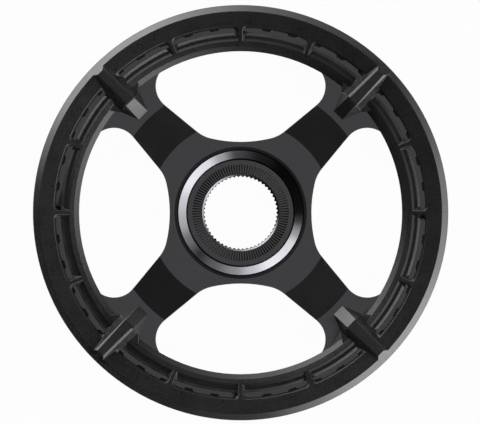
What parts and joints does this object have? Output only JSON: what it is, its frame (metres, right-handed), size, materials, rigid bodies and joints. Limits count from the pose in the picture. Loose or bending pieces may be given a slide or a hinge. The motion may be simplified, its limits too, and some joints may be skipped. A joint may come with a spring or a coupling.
{
  "type": "bicycle chainring",
  "caption": "Bicycle chainring with a splined hub, flat arms between open windows, and a moulded chain guard on each side of the teeth.",
  "frame": {"origin": "on the ring's axis, at the rear face of the inner guard", "axes": "+Z along the axis towards the outboard face, +Y up in the picture, +X to the right in the picture"},
  "size_m": [0.194, 0.194, 0.0142],
  "materials": {
    "ring_metal": "satin black, with the hub's cone left bright",
    "guard_plastic": "fine moulded grain",
    "screw_steel": "plain zinc plate"
  },
  "bodies": {
    "root": {"chainring": "ring_metal", "outer_guard": "guard_plastic", "inner_guard": "guard_plastic", "guard_screws": "screw_steel"}
  },
  "joints": []
}
